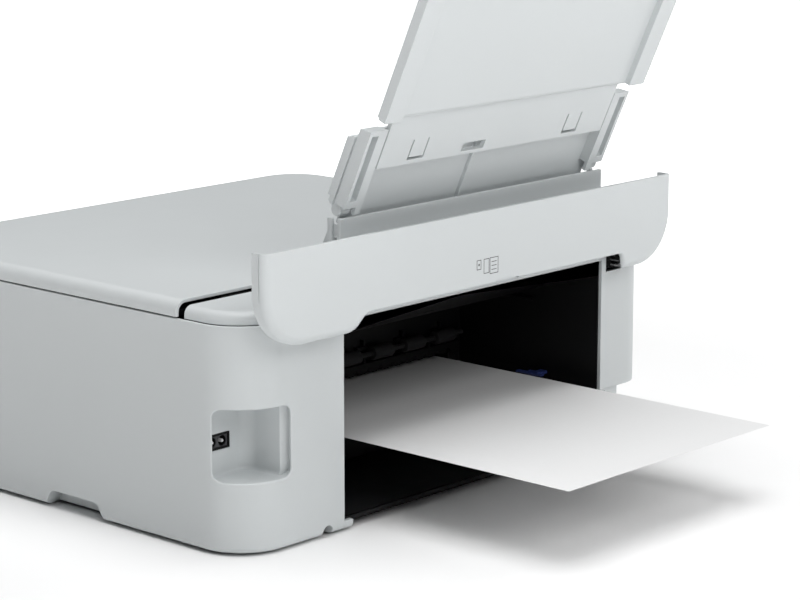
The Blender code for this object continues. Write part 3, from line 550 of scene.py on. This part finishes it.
def recess_mouth():
    """Opening of the power recess, square to the chord across the corner, with a rounded lip on the skin.

    Each loop is (growth of the opening, depth under the skin or None for a flat loop, the flat loop's place).
    """
    side = Vector((SIDE_X, RECESS_SIDE_DEPTH))
    rear = Vector((RECESS_REAR_X, 0))
    middle = (side + rear) / 2
    middle_height = (RECESS_LOW + RECESS_HIGH) / 2
    across = (side - rear).normalized()
    inwards = Vector((-across.y, across.x))
    angles = [math.radians(a) for a in (12, 25, 38, 52, 66, 78, 90)]
    steps = [(LIP * (1 - math.sin(a)), LIP * (1 - math.cos(a))) for a in angles]
    start = math.tan(angles[0])
    outside = 0.0009
    widest = steps[0][0] + (outside + steps[0][1]) / start
    steps = [(widest, None, -0.020), (widest, -outside, 0)] + [(grow, sink, 0) for grow, sink in steps]
    loops = []
    for grow, sink, flat_reach in steps + [(0, None, 0.0062)]:
        half = (side - rear).length / 2 + grow
        tall = (RECESS_HIGH - RECESS_LOW) / 2 + grow
        radius = RECESS_CORNER + grow
        loop = []
        for sideways, upwards in mouth_outline(half, tall, radius):
            flat = middle + across * sideways
            reach = flat_reach if sink is None else depth_to_skin(flat, inwards) + sink
            point = flat + inwards * reach
            loop.append(world(point.x, point.y, middle_height + upwards))
        loops.append(loop)
    return loft(loops)


def recess_hollow():
    """Room inside the power recess, its upright corners and its floor's edge rounded."""
    outline = [
        (SIDE_X - WALL, RECESS_SIDE_DEPTH),
        (SIDE_X - WALL, RECESS_DEPTH),
        (SIDE_X - 0.033, RECESS_DEPTH),
        (SIDE_X - 0.0385, 0.030),
        (RECESS_REAR_X + 0.001, WALL),
        (SIDE_X - 0.030, WALL),
    ]
    count = len(outline)
    middle = Vector((sum(x for x, d in outline) / count, sum(d for x, d in outline) / count))
    half_width = 0.020
    rounded = [Vector(point) for point in filleted(outline, 0.0036)]
    loops = []
    for pull, drop in rounding(0.0022, 5)[::-1]:
        share = 1 - pull / half_width
        floor = [middle + (point - middle) * share for point in rounded]
        loops.append([world(p.x, p.y, RECESS_LOW + drop) for p in floor])
    loops.append([world(p.x, p.y, RECESS_HIGH) for p in rounded])
    return loft(loops)


def grip_cut(side):
    """Finger recess under one side, its ends sloping."""
    below = -0.002
    corners = [
        (GRIP_DEPTH[0], below), (GRIP_ROOF[0], GRIP_HIGH), (GRIP_ROOF[1], GRIP_HIGH), (GRIP_DEPTH[1], below),
    ]
    left, right = sorted((side * (SIDE_X - GRIP_REACH), side * (SIDE_X + 0.005)))
    return prism_x(filleted(corners, 0.004), left, right)


def grip_room(side, reach, margin, high):
    """Block around one finger recess, from just inside the case's wall inwards."""
    x = sorted((side * (SIDE_X - 0.0027), side * (SIDE_X - reach)))
    return block(x, (GRIP_DEPTH[0] - margin, GRIP_DEPTH[1] + margin), (-0.0008, high))


def make_pan():
    """Base pan, cut back from the cable notch and from the finger recesses."""
    notch = block((-SIDE_X, NOTCH_X + 0.0025), (-OUTSIDE, NOTCH_DEPTH + 0.0025), (-OUTSIDE, 0.01))
    cuts = [notch] + [grip_room(side, GRIP_REACH + 0.0028, 0.0037, 0.02) for side in (1, -1)]
    gap = 0.0004
    pan = prism_z(plan(WALL + PAN_MARGIN + gap), gap, 0.0032)
    obj = soften(carved("pan_shell", pan, cuts=cuts), 0.0003)
    place(obj, "printer_base", "dark_plastic", "base_pan")


def make_case():
    """Main case: a ring-shaped shell with blocks round its recesses, opened for everything that it holds.

    The edges are rounded before the power recess is cut, because its lip is rounded already.
    """
    rim = WALL + PAN_MARGIN
    loops = [plan_loop(inset, drop - BOTTOM_DROP) for inset, drop in reversed(rounding(BOTTOM_RADIUS))]
    loops.append(plan_loop(0, SEAM))
    loops.append(plan_loop(WALL, SEAM))
    loops.append(plan_loop(WALL, PAN_MARGIN))
    loops.append(plan_loop(rim, 0.002))
    loops.append(plan_loop(rim, -BOTTOM_DROP))
    wall = 0.002
    through = 0.012
    joins = [
        corner_block(1, SIDE_X - 0.0475, 0.0375, 0.001, RECESS_LOW - wall, RECESS_HIGH + wall),
        corner_block(-1, NOTCH_X + wall, NOTCH_DEPTH + wall, 0.001, 0.001, NOTCH_HIGH + wall),
        # Small ledge at the near foot of the bay.
        block((BAY[1] - 0.008, BAY[1] + 0.004), (0.0008, 0.0075), (0.0012, 0.0042)),
        grip_room(1, GRIP_REACH + 0.0025, 0.0034, 0.0125),
        grip_room(-1, GRIP_REACH + 0.0025, 0.0034, 0.0125),
    ]
    cuts = [
        # Mouth of the bay, above the ledge and beside it.
        block(BAY, (-OUTSIDE, through), (0.0046, BEAM_LOW)),
        block((BAY[0], BAY[1] - 0.0078), (-OUTSIDE, through), (-OUTSIDE, 0.006)),
        # Opening of the front.
        block((-FRONT_HALF, FRONT_HALF), (BODY_DEPTH - 0.020, BODY_DEPTH + OUTSIDE), (-OUTSIDE, FRONT_TOP)),
        # Cable notch, its shallow step towards the bay, and the data socket's hole.
        block((-SIDE_X - OUTSIDE, NOTCH_X), (-OUTSIDE, NOTCH_DEPTH), (-OUTSIDE, NOTCH_HIGH)),
        block((NOTCH_X - OUTSIDE, BAY[0] + OUTSIDE), (-OUTSIDE, 0.0009), (-OUTSIDE, NOTCH_HIGH)),
        block(SOCKET_HOLE_X, (0.034, 0.040), SOCKET_HOLE_HEIGHT),
        # Half-round notch under the near tower and a small round hole in the far one.
        turned("y", world(SIDE_X - 0.075, 0, 0.0005), [(-OUTSIDE, 0.0045), (through, 0.0045)]),
        turned("y", world(BAY[0] - 0.006, 0, 0.0395), [(-OUTSIDE, 0.0011), (0.006, 0.0011)], 16),
        grip_cut(1),
        grip_cut(-1),
    ]
    for left, right in HINGE_SPANS:
        joins.append(block((left - 0.0025, right + 0.0025), (0.001, 0.012), (0.1235, 0.1415)))
        cuts.append(block((left - 0.0005, right + 0.0005), (-OUTSIDE, 0.009), (0.1260, 0.1435)))
    rough = soften(carved("rough_case", loft(loops, ring=True), joins, cuts), SOFT_EDGE)
    bm = bmesh.new()
    bm.from_mesh(rough.data)
    bpy.data.objects.remove(rough)
    inlet_hole = block(INLET_HOLE_X, (RECESS_DEPTH - 0.002, 0.045), INLET_HOLE_HEIGHT)
    obj = carved("outer_case", bm, cuts=[recess_mouth(), recess_hollow(), inlet_hole])
    place(obj, "printer_base", "light_plastic", "main_case")


def make_deck():
    """Deck cover behind the lid, with the feeder's slot through it and a hollow under each end."""
    sides = {"rear": 0.0, "front": DECK_DEPTH[1], "square_front": True}
    loops = [plan_loop(DECK_INSET, DECK_HEIGHT[0], **sides)]
    for pull, drop in rounding(DECK_RADIUS):
        loops.append(plan_loop(DECK_INSET + pull, DECK_HEIGHT[1] - drop, **sides))
    feeder_slot = block((-0.1475, 0.1105), (0.0200, 0.0475), (0.13, 0.16))
    hollows = [block(x, (0.012, 0.046), (0.13, 0.148)) for x in ((0.118, 0.185), (-0.185, -0.155))]
    obj = soften(carved("deck_shell", loft(loops), cuts=[feeder_slot] + hollows), SOFT_EDGE)
    place(obj, "printer_base", "light_plastic", "deck_cover")


def make_lid():
    """Scanner lid: a shell with rounded edges, open below and to the rear."""
    outer = {"rear": LID_DEPTH[0], "square_rear": True}
    loops = [plan_loop(0, LID_HEIGHT[0], **outer)]
    for pull, drop in rounding(LID_RADIUS, 12):
        loops.append(plan_loop(pull, LID_HEIGHT[1] - drop, **outer))
    inner = {"rear": LID_DEPTH[0] - OUTSIDE, "square_rear": True}
    hollow = [plan_loop(COVER_WALL, LID_HEIGHT[0] - OUTSIDE, **inner)]
    for pull, drop in rounding(LID_RADIUS - COVER_WALL):
        hollow.append(plan_loop(COVER_WALL + pull, LID_HEIGHT[1] - COVER_WALL - drop, **inner))
    obj = soften(carved("lid_shell", loft(loops), cuts=[loft(hollow)]), 0.0005)
    place(obj, "lid", "light_plastic", "scanner_lid")


# ---------------------------------------------------------------- rear cover


# The cover hangs lower over its two ends than in the middle, where its edge is also less rounded. The two
# steps are (x, rise above the lowest edge), from the near end to the far one.
COVER_RADIUS = 0.0053
MIDDLE_SHARE = 0.25
MIDDLE_RISE = 0.0116
COVER_MIDDLE = COVER_HEIGHT[0] + MIDDLE_RISE
NEAR_STEP = (
    (0.1262, 0.0), (0.1235, 0.0004), (0.1205, 0.0014), (0.1180, 0.0032), (0.1155, 0.0064), (0.1130, 0.0093),
    (0.1105, 0.0110), (0.1070, 0.0116),
)
FAR_STEP = (
    (-0.1414, 0.0116), (-0.1442, 0.0108), (-0.1457, 0.0085), (-0.1462, 0.0050), (-0.1468, 0.0020),
    (-0.1484, 0.0004), (-0.1512, 0.0),
)


def cover_outline(inset):
    """Rear cover seen from the rear: (x, height, share of the full edge radius) from corner to corner."""
    x = COVER_X[1]
    low = COVER_HEIGHT[0]
    radius = CORNER_RADIUS - inset
    points = [(x - inset, COVER_HEIGHT[1], 1.0)]
    centre = (x - CORNER_RADIUS, low + CORNER_RADIUS)
    points += [(a, b, 1.0) for a, b in arc(centre, radius, 0, -90, CORNER_STEPS)]
    for px, rise in NEAR_STEP + FAR_STEP:
        share = 1 - (1 - MIDDLE_SHARE) * min(1.0, rise / MIDDLE_RISE)
        lean = 0.6 if 0 < rise < MIDDLE_RISE else 0.0  # on a step's slope an inset also moves sideways
        inwards = lean if px > 0 else -lean
        points.append((px + inset * share * inwards, low + rise + inset * share, share))
    centre = (-x + CORNER_RADIUS, low + CORNER_RADIUS)
    points += [(a, b, 1.0) for a, b in arc(centre, radius, -90, -180, CORNER_STEPS)]
    points.append((-x + inset, COVER_HEIGHT[1], 1.0))
    return points


def cover_loop(pull, drop, wall=0.0, raised=0.0):
    """Loop round the cover's outer face, or inside it by a wall's thickness; its top points can be raised."""
    face = COVER_DEPTH[0] + wall
    loop = []
    for x, h, share in cover_outline(pull + wall):
        lift = raised if h > COVER_HEIGHT[1] - 0.0001 else 0.0
        loop.append(world(x, face + drop * share, h + lift))
    return loop


def flat_loop(loop, y):
    return [Vector((point.x, y, point.z)) for point in loop]


def make_rear_cover():
    """Rear cover: a shell with a shallow step below, slanted room at the far hinge and a groove at each end."""
    loops = [flat_loop(cover_loop(0, 0), REAR_Y - COVER_DEPTH[1])]
    loops += [cover_loop(pull, drop) for pull, drop in rounding(COVER_RADIUS, 10)]
    inner = [flat_loop(cover_loop(0, 0, COVER_WALL, OUTSIDE), REAR_Y - OUTSIDE)]
    radius = COVER_RADIUS - COVER_WALL
    inner += [cover_loop(pull, drop, COVER_WALL, OUTSIDE) for pull, drop in rounding(radius, 8)]
    step = block((-0.034, -0.011), (COVER_DEPTH[0] - OUTSIDE, 0.02), (0.10, COVER_MIDDLE + 0.0012))
    rear = COVER_DEPTH[0] + 0.0030
    left, bend, right = -0.1610, -0.1500, -0.1410
    room = [(right, rear), (bend, rear), (left, COVER_DEPTH[1]), (left, OUTSIDE), (right, OUTSIDE)]
    hinge_room = prism_z(room, 0.12, 0.1460)
    grooves = []
    for side in (1, -1):
        face = side * COVER_X[1]
        span = sorted((face + side * 0.002, face - side * 0.0005))
        depth = (COVER_DEPTH[0] + COVER_RADIUS - 0.0004, COVER_DEPTH[0] + COVER_RADIUS + 0.0006)
        grooves.append(block(span, depth, (COVER_HEIGHT[1] - 0.030, COVER_HEIGHT[1] + OUTSIDE)))
    obj = carved("rear_cover_shell", loft(loops), cuts=[loft(inner), step, hinge_room] + grooves)
    place(obj, "rear_cover", "light_plastic", "rear_cover")


def make_hinge_ribs():
    """Chevron ribs on the far hinge, which shows below the cover's edge; the ribs are coloured paler than the
    hinge's dark plastic as a painted highlight.
    """
    left = HINGE_SPANS[0][0]
    ribs = []
    for k in range(3):
        base = 0.1372 - 0.0034 * k
        upper = [(left + 0.0145, base + 0.0012), (left + 0.0105, base), (left + 0.0010, base + 0.0026)]
        lower = [(x, h - 0.0009) for x, h in reversed(upper)]
        ribs.append(prism_y(upper + lower, -0.0050, -0.0020))
    obj = carved("hinge_ribs", ribs[0], joins=ribs[1:])
    # The ribs' paler grey is a painted highlight.
    place(obj, body_of("cover_hinge_left"), "dark_plastic", look="hinge_painted_highlight")


def outline_strips(corners, width, depth):
    """Thin raised line along a closed outline of (x, height) points on the rear cover's outer face."""
    strips = []
    for i, start in enumerate(corners):
        a = Vector(start)
        b = Vector(corners[(i + 1) % len(corners)])
        along = (b - a).normalized()
        across = Vector((-along.y, along.x)) * width / 2
        grow = along * width / 2
        points = [a - grow + across, b + grow + across, b + grow - across, a - grow - across]
        strips.append(prism_y([tuple(p) for p in points], depth[0], depth[1]))
    return strips


def make_cover_marks():
    """Plain outlined signs for the paper slot on the rear cover."""
    depth = (COVER_DEPTH[0] - 0.00005, COVER_DEPTH[0] + 0.0002)
    line = 0.00045
    signs = (
        ((0.0045, 0.0084), (0.1540, 0.1600)),
        ((-0.0035, 0.0015), (0.1507, 0.1600)),
        ((-0.0125, -0.0045), (0.1497, 0.1601)),
    )
    shapes = []
    for x, height in signs:
        corners = [(x[0], height[0]), (x[1], height[0]), (x[1], height[1]), (x[0], height[1])]
        shapes += outline_strips(corners, line, depth)
    for k in range(3):
        rung = 0.1520 + 0.0026 * k
        shapes.append(block((-0.0110, -0.0060), depth, (rung, rung + line)))
    shapes.append(block((0.0058, 0.0070), depth, (0.1563, 0.1577)))
    obj = carved("cover_marks", shapes[0], joins=shapes[1:])
    place(obj, "rear_cover", "supply_case")


# ---------------------------------------------------------------- rear bay


def make_bay():
    """Black bay: liner and hopper, and on its front wall a toothed bar, crossed ribs and two side rails."""
    refined("bay_liner", 0.0005)
    # The hopper takes the darker copy of the dark plastic as painted shade of the bay.
    refined("feeder_hopper", 0.0004, look="bay_painted_shade")
    left, right = BAY
    foot = BAY_DEPTH + 0.001
    bar_top = 0.0600
    shapes = [block((left + 0.004, right - 0.004), (BAY_DEPTH - 0.0040, foot), (0.0575, bar_top))]
    for k in range(18):
        x = left + 0.010 + 0.0136 * k
        tall = 0.0045 + 0.003 * abs(noise.noise(Vector((k * 1.7, 0.3, 0.0))))
        shapes.append(block((x, x + 0.0018), (BAY_DEPTH - 0.0050, foot), (0.0590, bar_top + tall)))
    for k in range(6):
        x = left + 0.021 + 0.0405 * k
        shapes.append(block((x, x + 0.010), (BAY_DEPTH - 0.0034, foot), (0.0690, 0.0712)))
        shapes.append(block((x + 0.002, x + 0.0035), (BAY_DEPTH - 0.0034, foot), (bar_top, 0.0760)))
    for x in (right - 0.004, left + 0.002):
        shapes.append(block((x, x + 0.002), (0.060, foot), (0.0980, 0.1000)))
    ribs = carved("bay_ribs", shapes[0], joins=shapes[1:])
    soften(ribs, 0.0002, segments=2)
    place(ribs, "printer_base", "dark_plastic")


def make_transport_rollers():
    """Shaft with soft sleeves, each sleeve crowned at its ends."""
    x, depth, height = spans("transport_rollers")
    centre = world(0, sum(depth) / 2, sum(height) / 2)
    shaft = 0.0018
    full = (depth[1] - depth[0]) / 2
    end = full * 0.92
    profile = [(x[0], shaft)]
    pitch = 0.033
    for k in range(7):
        start = x[0] + 0.010 + pitch * k
        profile += [(start, shaft), (start + 0.0002, end), (start + 0.0012, full)]
        profile += [(start + 0.0188, full), (start + 0.0198, end), (start + 0.020, shaft)]
    profile.append((x[1], shaft))
    obj = new_object("transport_sleeves", turned("x", centre, profile, 32))
    place(obj, "transport_rollers", "rubber", "transport_rollers")


def make_sheet():
    """A4 sheet with a slight sag across its free end."""
    x, depth, height = spans("paper_sheet")
    columns, rows = 20, 28
    thick = 0.00012
    most_sag = 0.00015
    underside = height[0] + 0.00005
    bm = bmesh.new()
    grids = []
    for top in (False, True):
        grid = []
        for j in range(rows + 1):
            v = j / rows
            line = []
            for i in range(columns + 1):
                u = i / columns
                free = max(0.0, 1 - v / 0.5)
                sag = most_sag * math.sin(math.pi * u) * free
                z = underside + sag + (thick if top else 0)
                place_x = x[0] + (x[1] - x[0]) * u
                place_depth = depth[0] + (depth[1] - depth[0]) * v
                line.append(bm.verts.new(world(place_x, place_depth, z)))
            grid.append(line)
        grids.append(grid)
    low, high = grids
    for j in range(rows):
        for i in range(columns):
            for grid in grids:
                bm.faces.new((grid[j][i], grid[j][i + 1], grid[j + 1][i + 1], grid[j + 1][i]))
    rim = [(0, i) for i in range(columns)] + [(j, columns) for j in range(rows)]
    rim += [(rows, i) for i in range(columns, 0, -1)] + [(j, 0) for j in range(rows, 0, -1)]
    for k, (j, i) in enumerate(rim):
        nj, ni = rim[(k + 1) % len(rim)]
        bm.faces.new((low[j][i], low[nj][ni], high[nj][ni], high[j][i]))
    bmesh.ops.recalc_face_normals(bm, faces=bm.faces)
    place(new_object("a4_sheet", bm), "paper_sheet", "sheet_paper", "paper_sheet")


# ---------------------------------------------------------------- power


def inlet_wells(centres):
    """The two round holes round the inlet's pins."""
    radius = 0.0034
    return [turned("y", centre, [(0.030, radius), (0.044, radius)]) for centre in centres]


def make_inlet():
    """Two-pole inlet: a black frame around a grey face, two round wells, and a round pin in each."""
    gap = 0.0003
    frame_width = 0.0011
    face_inset = 0.0013
    left, right = INLET_HOLE_X[0] + gap, INLET_HOLE_X[1] - gap
    low, high = INLET_HOLE_HEIGHT[0] + gap, INLET_HOLE_HEIGHT[1] - gap
    centres = [world((left + right) / 2 + side * 0.0043, 0, (low + high) / 2) for side in (1, -1)]
    pocket_x = (left + frame_width, right - frame_width)
    pocket = block(pocket_x, (0.030, 0.0362), (low + frame_width, high - frame_width))
    base = block((left, right), (0.0346, 0.055), (low, high))
    body = carved("inlet_body", base, cuts=[pocket] + inlet_wells(centres))
    place(body, "printer_base", "dark_plastic", "power_inlet")
    plate_x = (left + face_inset, right - face_inset)
    plate = block(plate_x, (0.0354, 0.0363), (low + face_inset, high - face_inset))
    place(carved("inlet_face", plate, cuts=inlet_wells(centres)), "printer_base", "supply_case")
    radius = 0.0012
    profile = [(0.0350, 0.0004), (0.0352, 0.0009), (0.0358, radius), (0.046, radius)]
    pins = [turned("y", centre, profile, 20) for centre in centres]
    place(carved("inlet_pins", pins[0], joins=pins[1:]), "printer_base", "socket_metal")


# ---------------------------------------------------------------- everything that keeps its CAD shape


# Node and the width of its rounded edges.
FINE = {
    "exit_comb": 0.0002, "release_lever": 0.0003, "feeder_shield": 0.0005,
    "guide_right": 0.0005, "guide_left": 0.0005, "guide_pinion": 0.0002,
    "pickup_roller": 0.0004, "scanner_tray": 0.0005, "scanner_frame": 0.0003, "scanner_glass": 0.0002,
    "scan_rail": 0.0004, "scan_carriage": 0.0005, "lid_hinge_left": 0.0003, "lid_hinge_right": 0.0003,
    "lid_mat": 0.0008, "cover_hinge_left": 0.0002, "cover_hinge_right": 0.0002, "support_frame": 0.0002,
    "support_mid": 0.0003, "support_top": 0.0004, "power_supply": 0.0004, "main_board": 0.0002,
    "usb_port": 0.0003, "engine_frame": 0.0002, "carriage_rail": 0.0005, "platen": 0.0003,
    "maintenance_station": 0.0005, "feed_motor": 0.0003, "motor_pinion": 0.0003, "feed_gear": 0.0003,
    "feed_roller": 0.0005, "exit_roller": 0.0003, "carriage_belt": 0.0002, "carriage_motor": 0.0003,
    "print_carriage": 0.0006, "print_head": 0.0002, "ink_black": 0.0006, "ink_colour": 0.0006,
    "control_panel": 0.0005, "touch_screen": 0.0002, "power_button": 0.0003, "front_door": 0.0005,
    "output_tray": 0.0004, "paper_cassette": 0.0004, "foot_front_left": 0.0005, "foot_front_right": 0.0005,
    "foot_rear_left": 0.0005, "foot_rear_right": 0.0005,
}


# ---------------------------------------------------------------- stage


WORLD_STRENGTH = 0.03
# The floor glows more with the distance from the object, so that it fades to white.
FLOOR_REACH = 14.0
FLOOR_GLOW = 1.0
GLOW_START = 0.3
GLOW_FULL = 1.6
# Name, azimuth and elevation in degrees, distance, (width, height) and power of each light.
LIGHTS = (
    ("key", 80, 35, 2.6, (1.5, 1.1), 21),
    ("top", 60, 80, 2.4, (2.0, 2.0), 48),
    ("front_fill", -90, 55, 3.0, (2.0, 1.6), 14),
    ("right_fill", 45, 45, 3.0, (1.6, 1.2), 5),
    ("left_fill", 165, 40, 3.0, (1.8, 1.4), 14),
)
LIGHT_TARGET = Vector((0, 0, 0.1))
CAMERA_PLACE = (1.2760, 1.20685, 0.4953)
CAMERA_LOOK = Vector((-0.7226, -0.6587, -0.2096))
CAMERA_LENS = 119.07


def area_light(name, azimuth, elevation, distance, size, power):
    """Soft light at an azimuth from +X towards +Y and an elevation, aimed at the object."""
    a, e = math.radians(azimuth), math.radians(elevation)
    direction = Vector((math.cos(e) * math.cos(a), math.cos(e) * math.sin(a), math.sin(e)))
    light = bpy.data.lights.new(name, "AREA")
    light.shape = "RECTANGLE"
    light.size, light.size_y = size
    light.energy = power
    obj = bpy.data.objects.new(name, light)
    obj.location = LIGHT_TARGET + direction * distance
    obj.rotation_euler = (-direction).to_track_quat("-Z", "Y").to_euler()
    bpy.context.scene.collection.objects.link(obj)


def make_world():
    world_data = bpy.data.worlds.new("studio")
    bpy.context.scene.world = world_data
    world_data.use_nodes = True
    background = world_data.node_tree.nodes["Background"]
    background.inputs["Color"].default_value = (0.97, 0.985, 1.0, 1)
    background.inputs["Strength"].default_value = WORLD_STRENGTH


def make_floor():
    """Pale floor, white at a distance."""
    reach = FLOOR_REACH
    bm = bmesh.new()
    corners = [(-reach, -reach), (reach, -reach), (reach, reach), (-reach, reach)]
    bm.faces.new([bm.verts.new((x, y, 0)) for x, y in corners])
    floor = new_object("floor", bm)
    made, tree, shader = new_material("pale_floor", 0.9)
    tones = tinted(tree, cloud(tree, 3.0), (0.93, 0.93, 0.93), (0.96, 0.96, 0.96))
    tree.links.new(tones, shader.inputs["Base Color"])
    shader.inputs["Emission Color"].default_value = (1, 1, 1, 1)
    coordinates = add_node(tree, "ShaderNodeTexCoord").outputs["Object"]
    length = add_node(tree, "ShaderNodeVectorMath", {"Vector": coordinates}, operation="LENGTH")
    distance = length.outputs["Value"]
    values = {"Value": distance, "From Min": GLOW_START, "From Max": GLOW_FULL, "To Max": FLOOR_GLOW}
    glow = add_node(tree, "ShaderNodeMapRange", values, interpolation_type="SMOOTHSTEP").outputs["Result"]
    tree.links.new(glow, shader.inputs["Emission Strength"])
    floor.data.materials.append(made)


def make_camera():
    camera = bpy.data.cameras.new("camera")
    camera.lens = CAMERA_LENS
    camera.sensor_width = 36.0
    camera.clip_end = 60
    obj = bpy.data.objects.new("camera", camera)
    obj.location = CAMERA_PLACE
    obj.rotation_euler = CAMERA_LOOK.to_track_quat("-Z", "Y").to_euler()
    bpy.context.scene.collection.objects.link(obj)
    bpy.context.scene.camera = obj


def make_stage():
    make_world()
    make_floor()
    make_camera()
    for settings in LIGHTS:
        area_light(*settings)
    bpy.context.scene.view_settings.view_transform = "Standard"


dress_frame()
make_case()
make_pan()
make_deck()
make_lid()
make_rear_cover()
make_cover_marks()
make_hinge_ribs()
make_bay()
make_transport_rollers()
make_sheet()
make_inlet()
for node_name, edge_width in FINE.items():
    refined(node_name, edge_width)
make_stage()
